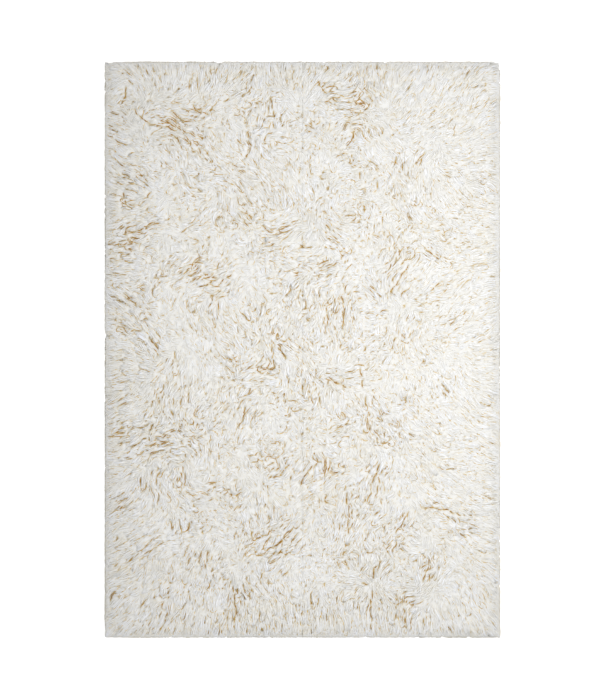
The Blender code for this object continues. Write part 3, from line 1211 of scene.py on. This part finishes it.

# %% [markdown]
# ## The colour of wool
#
# Washed wool is white on the crest of a strand, and its flanks get a painted shade, warmer than the
# crest, for the light that has passed through more of the wool there. Down at the knot it has kept a
# golden tone, and the darkest gold also paints the shade deep in a parting. So a ramp turns the stored
# gold into colour, the painted flank shade warms it, a fine grain streaks it, the stored tone makes it
# duller or whiter, with painted light on crests and painted shade in hollows, and the stored painted
# shade darkens it along the outline and towards the west. Wool is never as white as paper, so a last
# step keeps the colour below a limit.

# %% Mix the colour of wool
WOOL_AND_SHADE_TINTS = (  # from ivory to gold, whose darkest end also paints the shade deep in a parting
    (0.02, (0.784, 0.811, 0.875)),
    (0.20, (0.76, 0.70, 0.555)),
    (0.55, (0.69, 0.46, 0.06)),
    (1.0, (0.36, 0.158, 0.002)),
)
LOW_TONE_AND_SHADE = (0.955, 0.93, 0.86)  # low tone, and painted shade where the wool lies low: duller and warmer
HIGH_TONE_AND_LIGHT = (1.025, 1.038, 1.075)  # high tone, and painted light where the wool lies high: whiter
WHITEST = (0.90, 0.90, 0.91)
WOOL_SURFACE = {"Roughness": 0.9, "Sheen Weight": 0.25, "Sheen Roughness": 0.5, "Specular IOR Level": 0.2}


def wool_colour(material, grain, flank, flank_shade_tint, shade, light):
    """Wool with its gold, painted flank shade, streaks, tone and painted shade; the grain runs from shade
    to light.
    """
    tint = colour_ramp(material, stored(material, "gold"), WOOL_AND_SHADE_TINTS)
    # The flank gets a painted shade, warmer and darker than the crest.
    flank_inputs = {"Factor": flank, "A": tint, "B": (*flank_shade_tint, 1)}
    flank_shaded = add_node(material, "Mix", "Result", flank_inputs, data_type="RGBA", blend_type="MULTIPLY")
    least, most = (0.25,) * 3, (0.75,) * 3
    streak_inputs = {"Vector": grain, "From Min": least, "From Max": most, "To Min": shade, "To Max": light}
    streaks = add_node(material, "MapRange", "Vector", streak_inputs, data_type="FLOAT_VECTOR")
    tone_inputs = {"Vector": stored(material, "tone"), "To Min": LOW_TONE_AND_SHADE, "To Max": HIGH_TONE_AND_LIGHT}
    toned = add_node(material, "MapRange", "Vector", tone_inputs, data_type="FLOAT_VECTOR", clamp=False)
    colour = times(material, times(material, flank_shaded, streaks), toned)
    # Painted shade along the outline and towards the west.
    with_painted_shade = dimmed(material, colour, stored(material, "painted_shade"))
    return add_node(material, "VectorMath", "Vector", {0: with_painted_shade, 1: WHITEST}, operation="MINIMUM")


print(f"wool: {len(WOOL_AND_SHADE_TINTS)} tints from ivory to gold")

# %% [markdown]
# The strands and the fleece differ in their grain, and in what gets the painted flank shade. On a
# strand the grain is a noise stretched lengthwise, which makes streaks of fibre, and the painted shade
# falls on what lies far from the crest. The fleece is a felt of tiny curls, and has no crest, so all
# of it gets the painted flank shade.

# %% The wool of the strands and the wool of the fleece
STRETCH = (4.0, 3.0, 1.0)  # the noise's cells round a strand, along it and from strand to strand
CREST = 0.667  # the place of the crest round the section
FLANK = 0.333  # and of the flank


def strand_wool():
    """Streaks of fibre along each strand."""
    material = new_material("ivory_wool")
    strand = stored(material, "strand", "Vector")
    grain_inputs = {"Vector": times(material, strand, STRETCH), "Scale": 1.6, "Detail": 2.0}
    grain = add_node(material, "TexNoise", "Fac", grain_inputs)
    round_section = add_node(material, "SeparateXYZ", "X", {0: strand})
    crest_inputs = {"Value": round_section, "From Min": CREST, "From Max": FLANK}
    off_crest = add_node(material, "MapRange", "Result", crest_inputs, clamp=False)
    # Squared, so that the crest stays white over most of its breadth.
    flank = add_node(material, "Math", "Value", {0: off_crest, 1: off_crest}, operation="MULTIPLY")
    shade, light = (0.94, 0.90, 0.80), (1.042, 1.047, 1.07)
    colour = wool_colour(material, grain, flank, flank_shade_tint=(0.975, 0.884, 0.66), shade=shade, light=light)
    return finish_surface(material, colour, grain, bumps=0.3, plain_numbers=WOOL_SURFACE)


def fleece_wool():
    """A felt of tiny curls."""
    material = new_material("ivory_fleece")
    places = add_node(material, "TexCoord", "Object", {})
    curls_inputs = {"Vector": places, "Scale": 420.0, "Detail": 3.0, "Distortion": 1.5}
    curls = add_node(material, "TexNoise", "Fac", curls_inputs)
    shade, light = (0.90, 0.868, 0.765), (1.03, 1.033, 1.05)
    colour = wool_colour(material, curls, 1.0, flank_shade_tint=(0.93, 0.911, 0.87), shade=shade, light=light)
    return finish_surface(material, colour, curls, bumps=0.6, plain_numbers=WOOL_SURFACE)


STRAND_WOOL = strand_wool()
FLEECE_WOOL = fleece_wool()
for wool in (STRAND_WOOL, FLEECE_WOOL):
    print(f"{wool.name}: {len(wool.node_tree.nodes)} nodes")

# %% [markdown]
# ## Grow the pile
#
# Each strand gets a width, a roll and a tone of its own; the strands of one lock have much the same
# tone, so that a lock reads as one thing. In smooth places all tones are nearer to each other.

# %% Give each strand its width, roll and tone
half_width = rng.uniform(0.0016, 0.0028, len(strands))
half_height = half_width * rng.uniform(0.40, 0.62, len(strands))
roll = rng.normal(0, 0.3, len(strands))
tone = of_lock(-0.28, 0.28, lock_of) + rng.normal(0, 0.08, len(strands))
varied = 0.40 + 0.72 * np.minimum(ruffled(*strands[:, MIDDLE, :2].T), 1)
tone = 0.5 + tone * varied
cream = of_lock(0.3, 1.0, lock_of) * rng.uniform(0.5, 1.2, len(strands))
print(f"strands are {half_width.min() * 2000:.1f} to {half_width.max() * 2000:.1f} mm wide")

# %% [markdown]
# A long strand needs more sections than a short one to follow its curl, so there are three kinds.
# Each is creamier where it comes out of the pile, and a painted shade darkens it there and where it sinks
# into the fluff, against its tip.

# %% Make the strands
KINDS = {  # how the strands of each kind swell, from where they come out of the pile to the tip
    "short": (0, 0.92, 0.85, 0),
    "middling": (0, 0.85, 1.0, 0.75, 0),
    "long": (0, 0.8, 1.0, 0.95, 0.7, 0),
}
KIND_LIMITS = (7, 12)  # in steps of the walk: from these on a strand is middling, and long
CREAM_AND_SHADE = 0.09  # how creamy a strand is where it comes out of the pile: its root colour, and partly painted shade
ROOT_SHADE = 0.7  # how much painted shade darkens it there, against its tip
SUNK_SHADE = 0.15  # how much painted shade darkens it where it sinks into the fluff
TRIANGLES_IN_PIECE = 190000


def bodies_object(name, vertices, gold, tone):
    """One piece of many like bodies of wool."""
    faces = body_faces((vertices.shape[1] - 2) // 3)
    corner_vertex, corner_round, corner_share = np.array([corner for face in faces for corner in face]).T
    mesh = bodies_mesh(name, vertices, corner_vertex, np.array([len(face) for face in faces]))
    store_strand_numbers(mesh, len(vertices), corner_round / 3, corner_share)
    store_wool_numbers(mesh, vertices, gold, tone)
    return wool_piece(mesh, STRAND_WOOL)


def strand_looks(which, bodies, rings):
    """The gold and the tone at each vertex of some strands, with painted shade where a strand comes out of
    the pile and where it sinks into the fluff.
    """
    along = np.concatenate([[0], np.repeat(np.linspace(0, 1, rings + 2)[1:-1], 3), [1]])
    from_knot = starts[which, None] + (ends - starts)[which, None] * along
    # Creamier and in painted shade where the strand comes out of the pile.
    root_cream_and_shade = 0.6 * (1 - along) ** 2 + 1.1 * np.maximum(0.85 - from_knot, 0)  # 0 at the very tip
    gold = np.clip(at_points(GOLD_AND_SHADE, bodies) - 0.20, 0, 0.22) + CREAM_AND_SHADE * cream[which, None] * root_cream_and_shade
    sunk = np.clip((at_points(TOP, bodies) - bodies[..., 2]) / NEAR_TOP, -0.5, 1.5)
    painted_root_shade = ROOT_SHADE * varied[which, None] * (0.4 - root_cream_and_shade)
    return gold, tone[which, None] + painted_root_shade + SUNK_SHADE * (0.3 - sunk)


kind_of = np.digitize((ends - starts) * (WALK - 1), KIND_LIMITS)
for number, (kind, swell) in enumerate(KINDS.items()):
    members = np.flatnonzero(kind_of == number)
    rings = len(swell) - 2
    pieces = math.ceil(len(members) * 6 * rings / TRIANGLES_IN_PIECE)
    for turn in range(pieces):
        which = members[turn::pieces]
        sizes = (half_width[which], half_height[which], roll[which])
        bodies = body_vertices(strands[which], starts[which], ends[which], swell, *sizes)
        looks = strand_looks(which, bodies, rings)
        bodies_object(f"{kind}_strands_{turn + 1}", bodies, *looks)

# %% [markdown]
# ## Golden wool and painted shade in the partings
#
# At the bottom of a parting one sees the foot of the yarns. Carving the fleece that finely would take
# millions of faces, so the bottom is laid in as thin golden bodies that lie on the fleece, like
# commas: thick and dark at one end, thin and pale at the other, as where a lock draws away from the
# next. Their dark gold is partly the foot's own golden wool and partly painted shade, the shadow in
# the parting.

# %% Lay golden wool with painted shade along the partings
LONG_PARTING = 0.026
COMMAS = {  # how each kind swells, and how deep its gold and painted shade are, from its thick end to its thin one
    "short": ((0, 1.15, 0.60, 0), (1.15, 0.65)),
    "long": ((0, 1.2, 0.80, 0.45, 0), (1.2, 0.75, 0.5)),
}
SECTION_GOLD = (0.5, 0.5, 1.0)  # the crest of a comma is deeper in gold and painted shade than its sides
TIP_GOLD = (0.5, 0.2)  # at the thick and at the thin end
FLATNESS = 0.6
UNDER_TOP = 0.0004  # a comma lies this far under the top of the pile
OVER_FLEECE = 0.0002  # but no lower than this over the fleece
STANDS_UP = 0.0010  # and the strongest stand up by this much more

strong = np.minimum(parting_strength / 0.4, 1)[:, None]
lying = np.maximum(at_points(TOP, partings) - UNDER_TOP, fleece_height(partings) + OVER_FLEECE)
lying = lying + STANDS_UP * strong
comma_half_width = 0.0008 + 0.0011 * parting_strength * rng.uniform(0.7, 1.2, len(partings))
commas = np.concatenate([partings, lying[..., None]], axis=2)
turned = rng.uniform(0, 1, (len(commas), 1, 1)) >= 0.5
commas = np.where(turned, commas[:, ::-1], commas)
is_long = np.linalg.norm(np.diff(partings, axis=1), axis=2).sum(axis=1) >= LONG_PARTING
for kind, members in (("short", ~is_long), ("long", is_long)):
    swell, depth = COMMAS[kind]
    which = np.flatnonzero(members)
    none, whole = np.zeros(len(which)), np.ones(len(which))
    half_width = comma_half_width[which]
    bodies = body_vertices(commas[which], none, whole, swell, half_width, half_width * FLATNESS, none)
    golden = np.concatenate([TIP_GOLD[:1], np.outer(depth, SECTION_GOLD).ravel(), TIP_GOLD[1:]])
    # Gold with painted shade, darkest in the strongest partings.
    gold = np.clip((0.46 + 1.12 * parting_strength[which])[:, None] * golden, 0, 1)
    bodies_object(f"{kind}_golden_wool", bodies, gold, rng.uniform(0, 1, (len(which), 1)))

# %% [markdown]
# ## The fleece under the strands
#
# The fluff itself is one soft surface a little below the top of the strands, so that the strands
# stand out of it as low ridges, and it dips into the partings. It is made in two halves, each with
# walls and an underside, so that both are closed.

# %% Spread the fleece
def strips(first, second):
    """Four-sided faces between two rows of vertices, or between many pairs of rows."""
    corners = [first[..., :-1], second[..., :-1], second[..., 1:], first[..., 1:]]
    return np.stack(corners, -1).reshape(-1, 4)


def fleece(name, columns):
    """A closed block of fleece over some columns of the fleece's grid."""
    x, y, z = (grid[columns] for grid in (FLEECE_X, FLEECE_Y, FLEECE_Z))
    top = np.stack([x, y, z], -1).reshape(-1, 3)
    index = np.arange(x.size).reshape(x.shape)
    rim = np.concatenate([index[:, 0], index[-1, 1:], index[-2::-1, -1], index[0, -2::-1]])
    foot = x.size + np.append(np.arange(len(rim) - 1), 0)
    hub = x.size + len(rim) - 1
    underside = [(hub, after, before) for before, after in zip(foot[:-1].tolist(), foot[1:].tolist())]
    faces = strips(index[:-1], index[1:]).tolist() + strips(rim, foot).tolist() + underside
    corners = np.append(top[rim[:-1], :2], [[(x[0, 0] + x[-1, 0]) / 2, 0]], axis=0)
    below = np.insert(corners, 2, CLOTH_THICKNESS, axis=1)
    places = np.concatenate([top, below])
    mesh = bpy.data.meshes.new(name)
    mesh.from_pydata(places.tolist(), [], faces)
    mesh.update()
    # Golden, with painted shade, where the fleece dips into a parting.
    gold = np.maximum(at_points(GOLD_AND_SHADE, places) - 0.10, 0) * 0.45
    gold[x.size :] = 0
    store_wool_numbers(mesh, places, gold, 0.5)
    return wool_piece(mesh, FLEECE_WOOL)


half_way = len(FLEECE_X) // 2
fleece("fleece_west", slice(0, half_way + 1))
fleece("fleece_east", slice(half_way, None))

# %% [markdown]
# ## The cloth
#
# Under the pile lies the cloth that holds the knots: a coarse plain weave of undyed wool. Its yarns
# are far too many to model, so they are left to the material: two sets of waves that cross, and a
# checker that says which of the two is on top.

# %% The weave's material
YARN = 0.00625  # from one yarn to the next
WAVE_UNIT = 20  # a wave texture at scale 1 turns through this many radians in a metre
UNDYED_AND_SHADE = ((0, (0.42, 0.29, 0.15)), (1, (0.66, 0.50, 0.30)))  # from the painted shade between the yarns to their tops
WEAVE_SURFACE = {"Roughness": 0.95, "Specular IOR Level": 0.2}


def weave_material():
    material = new_material("undyed_ground_weave")
    places = add_node(material, "TexCoord", "Object", {})
    over = add_node(material, "TexChecker", "Fac", {"Vector": places, "Scale": 1 / YARN})
    wave = {"Vector": places, "Scale": 2 * math.pi / (WAVE_UNIT * YARN), "Distortion": 0.6}
    warp, weft = (add_node(material, "TexWave", "Fac", wave, bands_direction=way) for way in ("X", "Y"))
    yarns = add_node(material, "Mix", "Result", {"Factor": over, "A": warp, "B": weft})
    lumps = add_node(material, "TexNoise", "Fac", {"Vector": places, "Scale": 90.0})
    lumpy = add_node(material, "MapRange", "Result", {"Value": lumps, "To Min": 0.80, "To Max": 1.18})
    colour = dimmed(material, colour_ramp(material, yarns, UNDYED_AND_SHADE), lumpy)
    return finish_surface(material, colour, yarns, bumps=0.8, plain_numbers=WEAVE_SURFACE)


WEAVE = weave_material()
print(f"{WEAVE.name}: {len(WEAVE.node_tree.nodes)} nodes")

# %% [markdown]
# On the cloth's back each row of knots shows as a low rib. Those have a real shape, so the underside
# is modelled with them. The top is hidden by the pile, and is left flat.

# %% Weave the cloth
ROW = 2 * YARN  # from one row of knots to the next
BETWEEN_RIBS = 0.0012  # the height of the cloth's back over the floor, between two ribs
RIB_HEIGHT = 0.0007
RIB_UNEVEN = 0.0002  # how much some ribs are higher or lower
COLUMNS = 16
PLACES_IN_ROW = 4


def ribbed_underside():
    """Grids of x, y and z of the cloth's underside."""
    places_along = PLACES_IN_ROW * round(2 * cloth_half_y / ROW) + 1
    x, y = np.meshgrid(
        np.linspace(-cloth_half_x, cloth_half_x, COLUMNS),
        np.linspace(-cloth_half_y, cloth_half_y, places_along),
        indexing="ij",
    )
    rib = 0.5 - 0.5 * np.cos(2 * math.pi * (y / ROW + 0.12 * smooth_field(x, y, 0.15, 61)))
    return x, y, BETWEEN_RIBS - rib * (RIB_HEIGHT + RIB_UNEVEN * smooth_field(x, y, 0.05, 62))


def ground_cloth():
    """A thin closed mat, flat above and ribbed below."""
    x, y, z = ribbed_underside()
    index = np.arange(x.size).reshape(x.shape)
    west, east = x.size + np.arange(2 * x.shape[1]).reshape(2, -1)
    faces = strips(index[:-1], index[1:])[:, [0, 3, 2, 1]].tolist()
    faces += strips(west, east).tolist() + strips(index[0], west).tolist()
    faces += strips(index[-1], east)[:, ::-1].tolist()
    faces += [index[:, 0].tolist() + [int(east[0]), int(west[0])]]
    faces += [index[::-1, -1].tolist() + [int(west[-1]), int(east[-1])]]
    upper = np.full((2, x.shape[1]), CLOTH_THICKNESS)
    grids = ((x, y, z), (x[[0, -1]], y[[0, -1]], upper))
    places = np.concatenate([np.stack(grid, -1).reshape(-1, 3) for grid in grids])
    mesh = bpy.data.meshes.new("ground_cloth")
    mesh.from_pydata(places.tolist(), [], faces)
    if mesh.validate():
        print("ground_cloth: mesh needed mending")
    mesh.materials.append(WEAVE)
    cloth = bpy.data.objects.new("ground_cloth", mesh)
    bpy.context.scene.collection.objects.link(cloth)
    return cloth


cloth = ground_cloth()
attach(cloth, "root")
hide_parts("rug")
print(f"ground_cloth: {triangles(cloth.data)} triangles")

# %% [markdown]
# ## A plain studio
#
# White wool shows its relief only if the light is soft but comes a little more from one side. A white
# sky gives the softness and one wide lamp above the east side the direction. Light bounces many times
# in white wool before it leaves, so the number of bounces is raised.

# %% Floor and light
FLOOR_SIZE = 40.0
FLOOR_SURFACE = {
    "Base Color": (0.97, 0.97, 0.97, 1),
    "Roughness": 0.9,
    "Emission Color": (1, 1, 1, 1),
    "Emission Strength": 0.2,
}
SKY = 0.895
LAMP_PLACE = (0.60, 0.15, 1.9)
LAMP_TARGET = (0.50, 0.15, 0)
LAMP_SIZE = 1.4
LAMP_POWER = 23.2


def pale_floor():
    bpy.ops.mesh.primitive_plane_add(size=FLOOR_SIZE)
    floor = bpy.context.object
    floor.name = "studio_floor"
    material = new_material("pale_floor")
    feed(material.node_tree.nodes["Principled BSDF"], FLOOR_SURFACE)
    floor.data.materials.append(material)


def white_sky():
    world = bpy.data.worlds.new("studio")
    world.use_nodes = True
    feed(world.node_tree.nodes["Background"], {"Color": (1, 1, 1, 1), "Strength": SKY})
    bpy.context.scene.world = world


def wide_lamp():
    lamp = bpy.data.lights.new("key", "AREA")
    lamp.shape = "SQUARE"
    lamp.size = LAMP_SIZE
    lamp.energy = LAMP_POWER
    light = bpy.data.objects.new("key", lamp)
    light.location = LAMP_PLACE
    light.rotation_euler = (Vector(LAMP_TARGET) - Vector(LAMP_PLACE)).to_track_quat("-Z", "Y").to_euler()
    bpy.context.scene.collection.objects.link(light)


pale_floor()
white_sky()
wide_lamp()
bpy.context.scene.view_settings.view_transform = "Standard"
bpy.context.scene.cycles.diffuse_bounces = 12
print(f"lamp: {LAMP_SIZE:.1f} m wide, {LAMP_PLACE[2]:.1f} m above the floor")

# %% [markdown]
# ### Camera
#
# The camera hangs straight above the rug, and its height follows from the length that it has to see.

# %% Camera
LENS = 85.0
SENSOR = 36.0
SEEN = 1.216  # the length that the camera sees, in lengths of the rug
ABOVE_FLOOR = 0.01  # the level at which it sees that length
SOUTH = 0.0012  # how far south of the rug's middle it hangs


def camera_above():
    camera = bpy.data.cameras.new("camera")
    camera.lens = LENS
    camera.sensor_width = SENSOR
    view = bpy.data.objects.new("camera", camera)
    view.location = (0, -SOUTH, LENGTH * SEEN / 2 / (SENSOR / 2 / LENS) + ABOVE_FLOOR)
    bpy.context.scene.collection.objects.link(view)
    bpy.context.scene.camera = view


camera_above()
print(f"camera: {bpy.context.scene.camera.location.z:.2f} m above the floor")
